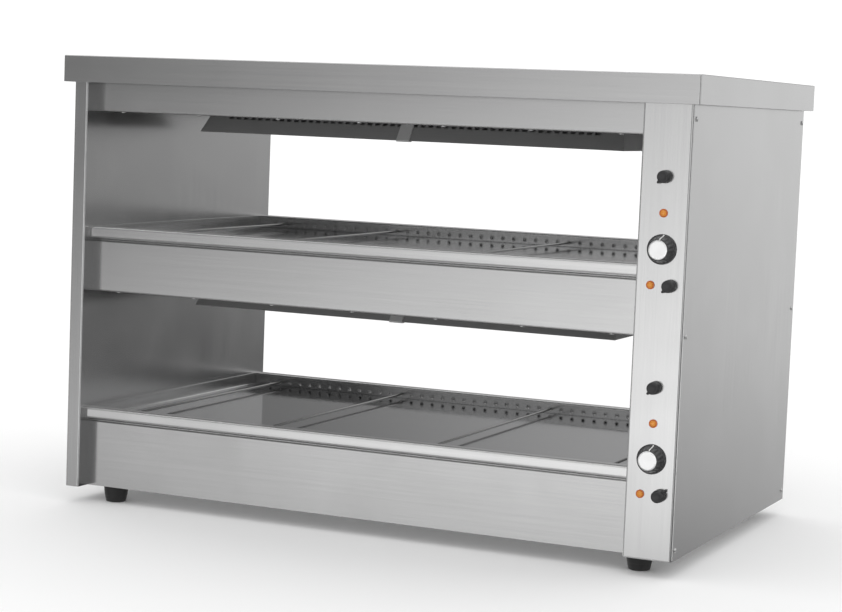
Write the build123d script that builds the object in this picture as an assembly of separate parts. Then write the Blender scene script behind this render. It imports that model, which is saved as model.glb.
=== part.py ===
from build123d import *
import math
import os

# Heated display case: two open heated decks under a steel canopy, with the controls in a slim housing
# at the right. Millimetres. X runs to the right, Y to the back and Z up. The origin is the middle of the
# footprint, on the floor.

# Cabinet
body_width = 1000.0
body_depth = 600.0
body_height = 675.0
foot_height = 26.0
sheet = 1.5
bend = 2.5
seat_gap = 0.3

# Top cover
cover_overhang = 12.0
cover_edge = 41.0
cover_edge_easing = 1.2

# Walls and control housing
post_width = 25.0
post_return = 26.0
skin_setback = 4.0
panel_width = 72.0
wall_flange = 14.0

# Decks. The canopy and the upper deck are measured down from the body's top, the lower deck up from its base
fascia_height = 85.0
upper_bay_height = 179.0
upper_deck_height = 102.0
lower_rim_height = 126.0
apron_recess = 27.0
apron_flange = 15.0
rim_recess = 12.0
rim_width = 20.0
rim_face = 17.0
rim_lip = 8.0
rim_foot = 5.0
tray_depth = 20.0
plate_thickness = 2.0
strip_foot = 14.0
pan_flange = 16.0

# Row of holes in the rails that take the lane rods
hole_radius = 2.6
hole_pitch = 20.0
hole_height = 7.0
hole_margin = 25.0
hole_sides = 4

# Lane rods, each in the hole with this number counted from the left
rod_radius = 1.9
rod_sides = 6
rod_bend = 5.0
rod_pin = 5.0
rod_front_gap = 14.0
upper_lanes = [1, 12, 28, 41]
lower_lanes = [1, 13, 27, 41]

# Overhead heaters
hood_length = 720.0
hood_width = 220.0
hood_height = 28.0
hood_slope = 20.0
hood_sheet = 1.0
hood_slot_length = 30.0
hood_slot_width = 4.0
hood_slot_pitch = 52.0
hood_slot_drop = 7.0
element_radius = 4.0
element_spacing = 90.0
element_inset = 30.0
holder_width = 12.0
holder_wall = 4.0
holders_per_element = 2
guard_thickness = 3.0
guard_bar = 3.0
guard_pitch = 88.0
strap_width = 22.0
strap_flange = 18.0
strap_hook = 9.0

# Heater mats under the hot plates
mat_thickness = 3.0
mat_inset = 40.0

# Controls. Each thermostat is a rise above its deck's rim
control_pitch = 50.0
upper_thermostat_rise = 23.0
lower_thermostat_rise = 16.0
pair_spread = 28.0
running_gap = 0.05
knob_standoff = 0.8

thermostat_knob_base = 42.0
thermostat_knob_top = 30.0
thermostat_knob_skirt = 2.0
thermostat_knob_height = 17.0
thermostat_knob_flutes = 18
flute_depth = 1.1
cap_diameter = 27.0
cap_height = 1.4
cap_sides = 24
thermostat_body = (46.0, 36.0, 40.0)
thermostat_bush = 10.0
thermostat_spindle = 6.0

switch_knob_diameter = 19.5
switch_knob_height = 15.0
switch_knob_taper = 4.5
switch_pointer_reach = 13.5
switch_pointer_width = 6.0
switch_pointer_height = 10.5
switch_knob_sides = 12
knob_end_wall = 3.0
knob_bush_room = 2.0
switch_body = (30.0, 28.0, 30.0)
switch_bush = 8.0
switch_spindle = 5.0
switch_rest_angle = 225.0
switch_turned_angle = 45.0
bush_reach = 3.0
spindle_depth = 8.0
bore_clearance = 0.3
hidden_sides = 8

lamp_diameter = 12.0
lamp_flange = 1.6
lamp_dome = 2.0
lamp_dome_step = 0.6
lamp_dome_taper = 50.0
lamp_sides = 12
lamp_barrel = 9.0
lamp_body = 26.0
lamp_body_width = 12.0

# Feet
foot_top = 40.0
foot_bottom = 32.0
foot_inset_side = 63.0
foot_inset_end = 52.0
foot_edge = 2.0
foot_sides = 16
foot_bolt = 8.0
foot_bolt_head = 13.0
foot_recess = 16.0
foot_bolt_head_height = 5.0

# Rear of the control housing
gland_diameter = 22.0
gland_taper = 21.0
gland_barrel = 16.0
gland_reach = 16.0
gland_bore = 9.0
gland_height = 60.0
gland_nut = 28.0
gland_nut_height = 6.0
vent_length = 36.0
vent_width = 4.0
vent_pitch = 12.0
vent_count = 8
vent_top_drop = 121.0
terminal_block_size = (34.0, 30.0, 60.0)
terminal_height = 250.0
terminal_ways = 5
terminal_gap = 2.0

# Screws
screw_head = 7.0
screw_head_height = 2.0
screw_head_crown = 4.6
screw_head_sides = 6
screw_shank = 3.6
screw_shank_sides = 4
screw_length = 6.0
side_screw_inset = 14.0
side_screw_low = 15.0
side_screw_drop = 61.0
side_screw_count = 3
under_screw_count = 7
under_screw_margin = 44.0

# Planes that everything is placed from
front_reach = knob_standoff + thermostat_knob_height + cap_height
rear_reach = max(cover_overhang, gland_reach)
front = front_reach - (front_reach + body_depth + rear_reach) / 2
rear = front + body_depth
left = -body_width / 2
right = body_width / 2
base = foot_height
fascia_bottom = body_height - fascia_height
upper_rim_height = fascia_bottom - upper_bay_height
upper_apron_bottom = upper_rim_height - upper_deck_height
cover_top = base + body_height
cover_bottom = cover_top - cover_edge
cover_underside = cover_top - sheet
bay_left = left + post_width
panel_left = right - panel_width
bay_right = panel_left + sheet
bay_width = bay_right - bay_left
bay_middle = (bay_left + bay_right) / 2
apron_front = front + apron_recess
apron_rear = rear - apron_recess
deck_front = front + rim_recess + rim_width
deck_rear = rear - rim_recess - rim_width
depth_middle = (front + rear) / 2

parts = {}


def block(x_low, x_high, y_low, y_high, z_low, z_high):
    """A plain block between pairs of planes."""
    size = Box(x_high - x_low, y_high - y_low, z_high - z_low, align=(Align.MIN, Align.MIN, Align.MIN))
    return Pos(x_low, y_low, z_low) * size


def folded(points, length, plane, side=Side.LEFT, radii=bend):
    """Sheet bent along an open line of one of its faces, and as long as asked along the plane's normal."""
    line = FilletPolyline(*points, radius=radii)
    strip = offset(line, amount=sheet, side=side)
    return extrude(plane * make_face(strip.edges()), amount=length)


def across(points, x_low, x_high, side=Side.LEFT, radii=bend):
    """Sheet with its bends in the Y-Z plane, running from one X to another."""
    return folded(points, x_high - x_low, Plane.YZ.offset(x_low), side, radii)


def upright(points, z_low, z_high, side=Side.LEFT):
    """Sheet with its bends in plan, standing between two heights."""
    return folded(points, z_high - z_low, Plane.XY.offset(z_low), side)


def front_to_back(shape):
    """The same piece at the other side of the cabinet, turned over its middle plane."""
    return mirror(shape, about=Plane.XZ.offset(-depth_middle))


def facing_front(x, z, y):
    """Plane that looks out of the control panel, with its own X to the right and its Y up."""
    return Plane(origin=(x, y, z), x_dir=(1, 0, 0), z_dir=(0, -1, 0))


def disc(place, diameter, height):
    """Round bar that grows out of a plane."""
    return extrude(place * Circle(diameter / 2), amount=height)


def prism(place, width, height, sides=hidden_sides):
    """Bar with a few flats, as wide across its flats as asked, that grows out of a plane."""
    return extrude(place * RegularPolygon(width / 2, sides, major_radius=False), amount=height)


def upright_prism(x, y, z, width, height, sides=hidden_sides):
    return prism(Plane(origin=(x, y, z), x_dir=(1, 0, 0), z_dir=(0, 0, 1)), width, height, sides)


def even(low, high, count):
    """Evenly spread places between two ends, with both ends used."""
    return [low + (high - low) * step / (count - 1) for step in range(count)]


# Top cover: one sheet with its four edges turned down
def make_top_cover():
    outer = block(
        left - cover_overhang,
        right + cover_overhang,
        front - cover_overhang,
        rear + cover_overhang,
        cover_bottom,
        cover_top,
    )
    outer = fillet(outer.edges().filter_by(Axis.Z), radius=bend)
    outer = chamfer(outer.edges().group_by(Axis.Z)[-1], length=cover_edge_easing)
    hollow = block(
        left - cover_overhang + sheet,
        right + cover_overhang - sheet,
        front - cover_overhang + sheet,
        rear + cover_overhang - sheet,
        cover_bottom,
        cover_underside,
    )
    return outer - hollow


# Left wall: an inner skin folded into the posts, and a flat outer skin screwed over its returns
def make_left_inner_skin():
    inside = left + sheet
    points = [
        (inside, front + post_return),
        (inside, front),
        (bay_left, front),
        (bay_left, rear),
        (inside, rear),
        (inside, rear - post_return),
    ]
    return upright(points, base, cover_underside, Side.LEFT)


def make_outer_skin(x_low):
    return block(x_low, x_low + sheet, front + skin_setback, rear - skin_setback, base, cover_underside)


# Control housing: two folded panels joined by a side panel and an inner wall
def make_control_panel():
    points = [
        (panel_left, front + post_return),
        (panel_left, front),
        (right - sheet, front),
        (right - sheet, front + post_return),
    ]
    return upright(points, base + sheet, cover_underside, Side.LEFT)


def make_inner_wall():
    face = bay_right
    points = [
        (face + wall_flange, base + sheet),
        (face, base + sheet),
        (face, cover_underside),
        (face + wall_flange, cover_underside),
    ]
    web_front = front + bend + seat_gap
    web_rear = rear - bend - seat_gap
    wall = folded(points, web_rear - web_front, Plane.XZ.offset(-web_rear), Side.RIGHT)
    return wall - foot_bolt_holes()


# Base pan: a folded tray under the lower deck and a flat floor for the control housing
def make_base_pan():
    y_low = apron_front + sheet
    y_high = apron_rear - sheet
    points = [(y_low, base + pan_flange), (y_low, base), (y_high, base), (y_high, base + pan_flange)]
    tray = across(points, bay_left, bay_right)
    floor = block(bay_right, right - sheet, front, rear, base, base + sheet)
    pan = tray + floor
    return pan - foot_bolt_holes()


def foot_places():
    """Where the four feet stand."""
    sides = [left + foot_inset_side, right - foot_inset_side]
    ends = [front + foot_inset_end, rear - foot_inset_end]
    return [(x, y) for x in sides for y in ends]


def foot_bolt_holes():
    width = foot_bolt + 2 * bore_clearance
    return Part() + [upright_prism(x, y, base - sheet, width, 4 * sheet) for x, y in foot_places()]


# Each deck: aprons with top flanges, a nosed rim with its row of holes, a hot plate and two end strips
def deck_levels(rim_height):
    rim_top = base + rim_height
    plate_top = rim_top - tray_depth
    return rim_top, plate_top, plate_top - plate_thickness


def make_apron(bottom, rim_height, with_bottom_flange):
    plate_bottom = deck_levels(rim_height)[2]
    points = [(apron_front, bottom), (apron_front, plate_bottom), (apron_front + apron_flange, plate_bottom)]
    if with_bottom_flange:
        points.insert(0, (apron_front + apron_flange, bottom))
    return across(points, bay_left, bay_right, Side.RIGHT)


def hole_places():
    """Middles of the rail's holes along X."""
    count = int((bay_width - 2 * hole_margin) / hole_pitch) + 1
    first = bay_middle - hole_pitch * (count - 1) / 2
    return [first + hole_pitch * step for step in range(count)]


def make_front_rim(rim_height):
    """Nosed rim along the front edge, whose inner leg stands on the apron's flange."""
    rim_top, plate_top, plate_bottom = deck_levels(rim_height)
    nose = front + rim_recess
    points = [
        (nose + rim_lip, rim_top - rim_face),
        (nose, rim_top - rim_face),
        (nose, rim_top),
        (deck_front, rim_top),
        (deck_front, plate_bottom),
        (deck_front - rim_foot, plate_bottom),
    ]
    return across(points, bay_left, panel_left, Side.RIGHT)


def make_rear_rim(rim_height):
    """The same rim along the rear edge, with a row of holes for the lane rods in its inner leg."""
    plate_top = deck_levels(rim_height)[1]
    hole = RegularPolygon(hole_radius, hole_sides, major_radius=False)
    holes = Sketch() + [Pos(x, plate_top + hole_height) * hole for x in hole_places()]
    cut = extrude(Plane.XZ.offset(-deck_rear - 2 * sheet) * holes, amount=3 * sheet)
    return front_to_back(make_front_rim(rim_height)) - cut


def make_end_strips(rim_height):
    rim_top, plate_top, plate_bottom = deck_levels(rim_height)
    length = deck_rear - deck_front - 2 * seat_gap
    plane = Plane.XZ.offset(-deck_rear + seat_gap)
    left_points = [(bay_left, rim_top), (bay_left, plate_top), (bay_left + strip_foot, plate_top)]
    right_points = [(bay_right, rim_top), (bay_right, plate_top), (bay_right - strip_foot, plate_top)]
    return [folded(left_points, length, plane, Side.LEFT), folded(right_points, length, plane, Side.RIGHT)]


def make_hot_plate(rim_height):
    rim_top, plate_top, plate_bottom = deck_levels(rim_height)
    return block(bay_left, bay_right, deck_front, deck_rear, plate_bottom, plate_top)


def make_heater_mat(rim_height):
    plate_bottom = deck_levels(rim_height)[2]
    return block(
        bay_left + mat_inset,
        bay_right - mat_inset,
        deck_front + mat_inset,
        deck_rear - mat_inset,
        plate_bottom - mat_thickness,
        plate_bottom,
    )


def make_lane_rod(x, rim_height):
    """Rod whose back end sits in a hole of the rear rail, and whose front end is bent down to the plate."""
    plate_top = deck_levels(rim_height)[1]
    height = plate_top + hole_height
    back = deck_rear + sheet + rod_pin
    toe = deck_front + rod_front_gap
    points = [(x, back, height), (x, toe, height), (x, toe, plate_top + seat_gap)]
    path = FilletPolyline(*points, radius=rod_bend)
    section = Plane(origin=(x, back, height), z_dir=(0, -1, 0)) * RegularPolygon(rod_radius, rod_sides)
    return sweep(section, path=path)


# Overhead heater: a flared hood with vent slots, two elements in holders, a guard and two outer straps
def make_hood(top):
    mouth = top - hood_height
    inner_drop = hood_height - hood_sheet

    def flared(shrink, height):
        length = hood_length - 2 * shrink
        width = hood_width - 2 * shrink
        outline = Plane.XY.offset(mouth) * Pos(bay_middle, depth_middle) * Rectangle(length, width)
        return extrude(outline, amount=height, taper=slope_angle)

    slope_angle = math.degrees(math.atan2(hood_slope, hood_height))
    wall = hood_sheet * math.hypot(hood_slope, hood_height) / hood_height
    hood = flared(0, hood_height) - flared(wall, inner_drop)
    count = int((hood_length - 4 * hood_slope) / hood_slot_pitch)
    first = bay_middle - hood_slot_pitch * (count - 1) / 2
    slot = Rectangle(hood_slot_length, hood_slot_width)
    slots = [Pos(first + hood_slot_pitch * step, top - hood_slot_drop) * slot for step in range(count)]
    cut = extrude(Plane.XZ.offset(-depth_middle - hood_width / 2) * (Sketch() + slots), amount=hood_width)
    keep = block(
        bay_middle - hood_length / 2,
        bay_middle + hood_length / 2,
        depth_middle - hood_width / 2 + hood_slope + wall,
        depth_middle + hood_width / 2 - hood_slope - wall,
        mouth,
        top,
    )
    return hood - (cut - keep)


def element_lines():
    return [depth_middle - element_spacing / 2, depth_middle + element_spacing / 2]


def make_elements(top):
    height = top - hood_height / 2
    length = hood_length - 2 * hood_slope - 2 * element_inset
    start = bay_middle - length / 2
    return [extrude(Plane.YZ.offset(start) * Pos(y, height) * Circle(element_radius), amount=length)
            for y in element_lines()]


def make_brackets(top):
    """Holders under the hood's roof for the elements, and a strap down each long side of the hood."""
    height = top - hood_height / 2
    reach = hood_length / 2 - hood_slope - element_inset - holder_width
    holders = []
    half = element_radius + holder_wall
    roof = top - hood_sheet
    for x in even(bay_middle - reach, bay_middle + reach, holders_per_element):
        for y in element_lines():
            start = x - holder_width / 2
            holder = block(start, start + holder_width, y - half, y + half, height - half, roof)
            bore_place = Plane(origin=(x - holder_width, y, height), x_dir=(0, 1, 0), z_dir=(1, 0, 0))
            holders.append(holder - prism(bore_place, 2 * (element_radius + seat_gap), 2 * holder_width))
    mouth = top - hood_height
    shoulder = depth_middle - hood_width / 2 + hood_slope - seat_gap
    lip = depth_middle - hood_width / 2 - 2 * seat_gap
    points = [
        (shoulder - strap_flange, top),
        (shoulder, top),
        (lip, mouth - 2 * seat_gap),
        (lip + strap_hook, mouth - 2 * seat_gap),
    ]
    half = strap_width / 2
    strap = across(points, bay_middle - half, bay_middle + half, Side.RIGHT, [bend, seat_gap])
    return holders + [strap, front_to_back(strap)]


def make_guard(top):
    """Flat grid that closes the hood's mouth."""
    mouth = top - hood_height
    clear = hood_sheet + hood_slope * guard_thickness / hood_height + 2 * seat_gap
    length = hood_length - 2 * clear
    width = hood_width - 2 * clear
    middle = Pos(bay_middle, depth_middle, mouth + guard_thickness / 2)
    grid = Box(length, width, guard_thickness)
    columns = int((length - guard_bar) / guard_pitch)
    window_length = (length - guard_bar * (columns + 1)) / columns
    window_width = (width - 3 * guard_bar) / 2
    window = Rectangle(window_length, window_width)
    windows = GridLocations(window_length + guard_bar, window_width + guard_bar, columns, 2)
    pattern = Sketch() + windows * window
    cut = extrude(Plane.XY.offset(-guard_thickness) * pattern, amount=2 * guard_thickness)
    return middle * (grid - cut)


# Canopy and underpans
def make_fascia():
    bottom = base + fascia_bottom
    points = [
        (apron_front + apron_flange, bottom),
        (apron_front, bottom),
        (apron_front, cover_underside),
        (apron_front + apron_flange, cover_underside),
    ]
    return across(points, bay_left, bay_right, Side.RIGHT)


def make_underpan(bottom):
    low = bottom + sheet
    return block(bay_left, bay_right, apron_front + bend, apron_rear - bend, low, low + sheet)


# Controls
def control_rows():
    """Places of the controls on the panel: name, thermostat height and the panel's middle."""
    middle = panel_left + panel_width / 2
    upper = base + upper_rim_height + upper_thermostat_rise
    lower = base + lower_rim_height + lower_thermostat_rise
    return [("upper", upper, middle), ("lower", lower, middle)]


def switch_places():
    """Name, X, height and pointer angle of each rotary switch."""
    places = []
    for name, height, middle in control_rows():
        paired_angle = switch_rest_angle if name == "upper" else switch_turned_angle
        places.append((f"{name}_heater", middle, height + 2 * control_pitch, switch_rest_angle))
        places.append((f"{name}_plate", middle + pair_spread / 2, height - control_pitch, paired_angle))
    return places


def lamp_places():
    places = []
    for name, height, middle in control_rows():
        places.append((middle, height + control_pitch))
        places.append((middle - pair_spread / 2, height - control_pitch))
    return places


def make_control_body(x, z, size, bush, spindle):
    """Thermostat or switch behind the panel, with a bush through the panel and a bore for its spindle."""
    width, depth, height = size
    back = front + sheet
    body = block(x - width / 2, x + width / 2, back, back + depth, z - height / 2, z + height / 2)
    body += prism(facing_front(x, z, back), bush, sheet + bush_reach)
    bore_place = facing_front(x, z, back + spindle_depth)
    bore = disc(bore_place, spindle + 2 * running_gap, spindle_depth + 2 * bush_reach)
    return body - bore


def make_spindle(x, z, diameter, reach):
    inner_end = front + sheet + spindle_depth - seat_gap
    length = inner_end - (front - knob_standoff - reach)
    return disc(facing_front(x, z, inner_end), diameter, length)


def fluted_outline(place, radius, depth):
    """Star with as many points as the grip has ribs."""
    corners = []
    for step in range(2 * thermostat_knob_flutes):
        reach = radius - depth * (step % 2)
        angle = math.pi * step / thermostat_knob_flutes
        corners.append((reach * math.cos(angle), reach * math.sin(angle)))
    return place * make_face(Polyline(*corners, close=True).edges())


def knob_hollow(place, bush, spindle, height):
    """Room inside a knob for the bush, with a bore for the spindle that stops short of the knob's end."""
    room = prism(place, bush + 2 * knob_bush_room, bush_reach + seat_gap)
    return room + prism(place, spindle + 2 * running_gap, height - knob_end_wall)


def make_thermostat_knob(x, z):
    """Skirted knob with a tapered, ribbed grip."""
    place = facing_front(x, z, front - knob_standoff)
    grip_base = thermostat_knob_base / 2 - thermostat_knob_skirt
    skirt = disc(place, thermostat_knob_base, thermostat_knob_skirt)
    grip_top = thermostat_knob_top / 2
    low = fluted_outline(place.offset(thermostat_knob_skirt), grip_base, flute_depth)
    high = fluted_outline(place.offset(thermostat_knob_height), grip_top, flute_depth * grip_top / grip_base)
    knob = skirt + loft([low, high], ruled=True)
    return knob - knob_hollow(place, thermostat_bush, thermostat_spindle, thermostat_knob_height)


def make_thermostat_cap(x, z):
    """Metal disc on the end of the knob."""
    place = facing_front(x, z, front - knob_standoff - thermostat_knob_height)
    return prism(place, cap_diameter, cap_height, cap_sides)


def make_switch_knob(x, z, angle):
    """Small many-sided knob with a pointer nose."""
    place = facing_front(x, z, front - knob_standoff)
    outline = place * RegularPolygon(switch_knob_diameter / 2, switch_knob_sides)
    knob = extrude(outline, amount=switch_knob_height, taper=switch_knob_taper)
    half = switch_pointer_width / 2
    shoulder = switch_pointer_reach - half
    corners = [(0, -half), (shoulder, -half), (switch_pointer_reach, 0), (shoulder, half), (0, half)]
    nose = Rot(0, 0, angle) * make_face(Polyline(*corners, close=True).edges())
    knob += extrude(place * nose, amount=switch_pointer_height)
    return knob - knob_hollow(place, switch_bush, switch_spindle, switch_knob_height)


def make_lens(x, z):
    """Domed lens that sits on the panel over its lamp."""
    place = facing_front(x, z, front)
    flange = prism(place, lamp_diameter, lamp_flange, lamp_sides)
    outline = place.offset(lamp_flange) * RegularPolygon(lamp_diameter / 2 - lamp_dome_step, lamp_sides)
    return flange + extrude(outline, amount=lamp_dome, taper=lamp_dome_taper)


def make_lamp_body(x, z):
    """Lamp behind the panel, with a barrel through it that ends at the lens."""
    back = front + sheet
    body = prism(facing_front(x, z, back + lamp_body), lamp_body_width, lamp_body)
    return body + prism(facing_front(x, z, back), lamp_barrel, sheet)


# Feet, cable entry and terminals
def make_foot(x, y):
    """Tapered rubber foot with an eased tread and a counterbore for its bolt."""
    def ring(radius, height):
        return Plane.XY.offset(height) * RegularPolygon(radius, foot_sides)

    tread = loft([ring(foot_bottom / 2 - foot_edge, 0), ring(foot_bottom / 2, foot_edge)], ruled=True)
    side = loft([ring(foot_bottom / 2, foot_edge), ring(foot_top / 2, foot_height)], ruled=True)
    foot = Pos(x, y, 0) * (tread + side)
    foot -= upright_prism(x, y, 0, foot_bolt_head + 2 * bore_clearance, foot_recess)
    return foot - upright_prism(x, y, 0, foot_bolt + 2 * bore_clearance, foot_height)


def make_foot_bolt(x, y):
    low = foot_recess - foot_bolt_head_height
    head = upright_prism(x, y, low, foot_bolt_head * math.sqrt(3) / 2, foot_bolt_head_height, 6)
    return head + upright_prism(x, y, foot_recess, foot_bolt, foot_height - foot_recess + 4 * sheet)


def make_rear_cover():
    """Folded rear panel of the control housing, with vent slots and the cable entry's hole."""
    cover = front_to_back(make_control_panel())
    middle = panel_left + panel_width / 2
    vent_top = base + body_height - vent_top_drop
    slot = Rectangle(vent_length, vent_width)
    slots = [Pos(middle, vent_top - vent_pitch * step) * slot for step in range(vent_count)]
    entry_width = gland_barrel + 2 * bore_clearance
    outline = RegularPolygon(entry_width / 2, hidden_sides, major_radius=False)
    entry = Pos(middle, base + gland_height) * outline
    cut = extrude(Plane.XZ.offset(-rear - sheet) * (Sketch() + slots + entry), amount=4 * sheet)
    return cover - cut


def make_gland():
    """Cable entry in the rear panel: a domed nut outside, a barrel through the sheet and a locknut inside."""
    middle = panel_left + panel_width / 2
    height = base + gland_height
    outside = Plane(origin=(middle, rear, height), x_dir=(-1, 0, 0), z_dir=(0, 1, 0))
    inside = outside.offset(-sheet - gland_nut_height)
    gland = prism(outside, gland_nut * math.sqrt(3) / 2, gland_nut_height, 6)
    dome = outside.offset(gland_nut_height) * RegularPolygon(gland_diameter / 2, 2 * hidden_sides)
    gland += extrude(dome, amount=gland_reach - gland_nut_height, taper=gland_taper)
    gland += prism(inside, gland_nut * math.sqrt(3) / 2, gland_nut_height, 6)
    gland += prism(inside, gland_barrel, sheet + 2 * gland_nut_height)
    return gland - prism(inside, gland_bore, 2 * gland_nut_height + sheet + gland_reach)


def make_terminal_block():
    """Row of terminals on the side panel's inner face."""
    width, depth, height = terminal_block_size
    x_high = right - sheet
    low = base + terminal_height
    y_low = depth_middle - depth / 2
    y_high = depth_middle + depth / 2
    body = block(x_high - width, x_high, y_low, y_high, low, low + height)
    gap = terminal_gap / 2
    for step in range(1, terminal_ways):
        z = low + height * step / terminal_ways
        body -= block(x_high - width, x_high - width / 2, y_low, y_high, z - gap, z + gap)
    return body


# Screws: domed heads on the face that they clamp, with shanks through both sheets
def make_screws(planes):
    low = RegularPolygon(screw_head / 2, screw_head_sides)
    high = RegularPolygon(screw_head_crown / 2, screw_head_sides)
    head = loft([Plane.XY * low, Plane.XY.offset(screw_head_height) * high], ruled=True)
    screw = head + prism(Plane.XY.offset(-screw_length), screw_shank, screw_length, screw_shank_sides)
    return [place.location * screw for place in planes]


def side_screw_planes():
    planes = []
    for height in even(side_screw_low, body_height - side_screw_drop, side_screw_count):
        for y in (front + side_screw_inset, rear - side_screw_inset):
            planes.append(Plane(origin=(right, y, base + height), x_dir=(0, 1, 0), z_dir=(1, 0, 0)))
            planes.append(Plane(origin=(left, y, base + height), x_dir=(0, 1, 0), z_dir=(-1, 0, 0)))
    return planes


def under_screw_planes():
    planes = []
    for bottom in (base + fascia_bottom, base + upper_apron_bottom):
        for x in even(bay_left + under_screw_margin, bay_right - under_screw_margin, under_screw_count):
            for y in (apron_front + apron_flange / 2, apron_rear - apron_flange / 2):
                planes.append(Plane(origin=(x, y, bottom), x_dir=(1, 0, 0), z_dir=(0, 0, -1)))
    return planes


def drill(shape, planes):
    """Screw holes through whatever lies under each head."""
    width = screw_shank + 2 * bore_clearance
    depth = screw_length + sheet
    holes = [prism(place.offset(-screw_length), width, depth, screw_shank_sides) for place in planes]
    return shape - (Part() + holes)


def build():
    side_planes = side_screw_planes()
    under_planes = under_screw_planes()

    parts["top_cover"] = make_top_cover()
    parts["left_inner_skin"] = drill(make_left_inner_skin(), side_planes)
    parts["left_outer_skin"] = drill(make_outer_skin(left), side_planes)
    parts["right_side_panel"] = drill(make_outer_skin(right - sheet), side_planes)
    parts["control_inner_wall"] = make_inner_wall()
    parts["base_pan"] = make_base_pan()

    # The control panel's openings follow the controls
    panel = drill(make_control_panel(), side_planes)
    switch_bodies = []
    thermostat_bodies = []
    for name, x, z, angle in switch_places():
        panel -= prism(facing_front(x, z, front + 2 * sheet), switch_bush + 2 * bore_clearance, 3 * sheet)
        switch_bodies.append(make_control_body(x, z, switch_body, switch_bush, switch_spindle))
        parts[f"{name}_switch_knob"] = make_switch_knob(x, z, angle)
        reach = switch_knob_height - knob_end_wall - seat_gap
        parts[f"{name}_switch_spindle"] = make_spindle(x, z, switch_spindle, reach)
    for name, z, x in control_rows():
        panel -= prism(facing_front(x, z, front + 2 * sheet), thermostat_bush + 2 * bore_clearance, 3 * sheet)
        body = make_control_body(x, z, thermostat_body, thermostat_bush, thermostat_spindle)
        thermostat_bodies.append(body)
        reach = thermostat_knob_height - knob_end_wall - seat_gap
        parts[f"{name}_thermostat_knob"] = make_thermostat_knob(x, z)
        parts[f"{name}_thermostat_cap"] = make_thermostat_cap(x, z)
        parts[f"{name}_thermostat_spindle"] = make_spindle(x, z, thermostat_spindle, reach)
    for x, z in lamp_places():
        panel -= prism(facing_front(x, z, front + 2 * sheet), lamp_barrel + 2 * bore_clearance, 3 * sheet)
    parts["control_panel"] = panel
    parts["switch_bodies"] = Compound(switch_bodies)
    parts["thermostat_bodies"] = Compound(thermostat_bodies)
    parts["lamp_lenses"] = Compound([make_lens(x, z) for x, z in lamp_places()])
    parts["lamp_bodies"] = Compound([make_lamp_body(x, z) for x, z in lamp_places()])
    parts["control_rear_cover"] = drill(make_rear_cover(), side_planes)
    parts["cable_gland"] = make_gland()
    parts["terminal_block"] = make_terminal_block()

    # Canopy
    fascia = make_fascia()
    parts["canopy_front_fascia"] = drill(fascia, under_planes)
    parts["canopy_rear_fascia"] = drill(front_to_back(fascia), under_planes)
    parts["canopy_underpan"] = drill(make_underpan(base + fascia_bottom), under_planes)

    # Decks
    upper_apron = make_apron(base + upper_apron_bottom, upper_rim_height, True)
    lower_apron = make_apron(base, lower_rim_height, False)
    parts["upper_front_apron"] = drill(upper_apron, under_planes)
    parts["upper_rear_apron"] = drill(front_to_back(upper_apron), under_planes)
    parts["upper_underpan"] = drill(make_underpan(base + upper_apron_bottom), under_planes)
    parts["lower_front_apron"] = lower_apron
    parts["lower_rear_apron"] = front_to_back(lower_apron)
    decks = [("upper", upper_rim_height, upper_lanes), ("lower", lower_rim_height, lower_lanes)]
    strips = []
    mats = []
    for name, rim_height, lanes in decks:
        parts[f"{name}_front_rim"] = make_front_rim(rim_height)
        parts[f"{name}_rear_rim"] = make_rear_rim(rim_height)
        parts[f"{name}_hot_plate"] = make_hot_plate(rim_height)
        strips += make_end_strips(rim_height)
        mats.append(make_heater_mat(rim_height))
        holes = hole_places()
        for number, lane in enumerate(lanes, start=1):
            x = holes[min(lane, len(holes) - 1)]
            parts[f"{name}_lane_rod_{number}"] = make_lane_rod(x, rim_height)
    parts["deck_end_strips"] = Compound(strips)
    parts["heater_mats"] = Compound(mats)

    # Overhead heaters hang from the two underpans
    elements = []
    brackets = []
    guards = []
    for name, bottom in (("upper", base + fascia_bottom), ("lower", base + upper_apron_bottom)):
        top = bottom + sheet
        parts[f"{name}_heater_hood"] = make_hood(top)
        elements += make_elements(top)
        brackets += make_brackets(top)
        guards.append(make_guard(top))
    parts["heater_elements"] = Compound(elements)
    parts["heater_brackets"] = Compound(brackets)
    parts["heater_guards"] = Compound(guards)

    parts["feet"] = Compound([make_foot(x, y) for x, y in foot_places()])
    parts["foot_bolts"] = Compound([make_foot_bolt(x, y) for x, y in foot_places()])
    parts["screws"] = Compound(make_screws(side_planes + under_planes))


build()
os.makedirs("parts", exist_ok=True)
for name, shape in parts.items():
    export_step(shape, f"parts/{name}.step")
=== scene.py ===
import math
import random

import bmesh
import bpy
from mathutils import Matrix, Vector


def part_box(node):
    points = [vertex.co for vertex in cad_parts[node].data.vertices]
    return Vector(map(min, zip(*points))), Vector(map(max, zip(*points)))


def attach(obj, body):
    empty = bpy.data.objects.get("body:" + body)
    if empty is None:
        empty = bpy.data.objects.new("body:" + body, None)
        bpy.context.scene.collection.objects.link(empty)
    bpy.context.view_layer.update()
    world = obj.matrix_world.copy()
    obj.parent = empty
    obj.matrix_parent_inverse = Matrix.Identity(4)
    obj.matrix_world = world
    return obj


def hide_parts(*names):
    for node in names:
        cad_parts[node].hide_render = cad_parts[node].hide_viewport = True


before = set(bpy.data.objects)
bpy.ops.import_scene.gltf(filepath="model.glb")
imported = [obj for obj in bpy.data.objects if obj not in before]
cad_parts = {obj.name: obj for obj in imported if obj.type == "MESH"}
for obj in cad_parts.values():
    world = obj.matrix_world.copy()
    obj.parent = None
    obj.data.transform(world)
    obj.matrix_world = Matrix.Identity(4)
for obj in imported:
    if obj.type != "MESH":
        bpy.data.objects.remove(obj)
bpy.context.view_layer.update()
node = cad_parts

# Metres, in the frame of the drawn case: X to the controls, Y to the back, Z up from the counter.
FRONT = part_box("control_panel")[0].y
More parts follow.
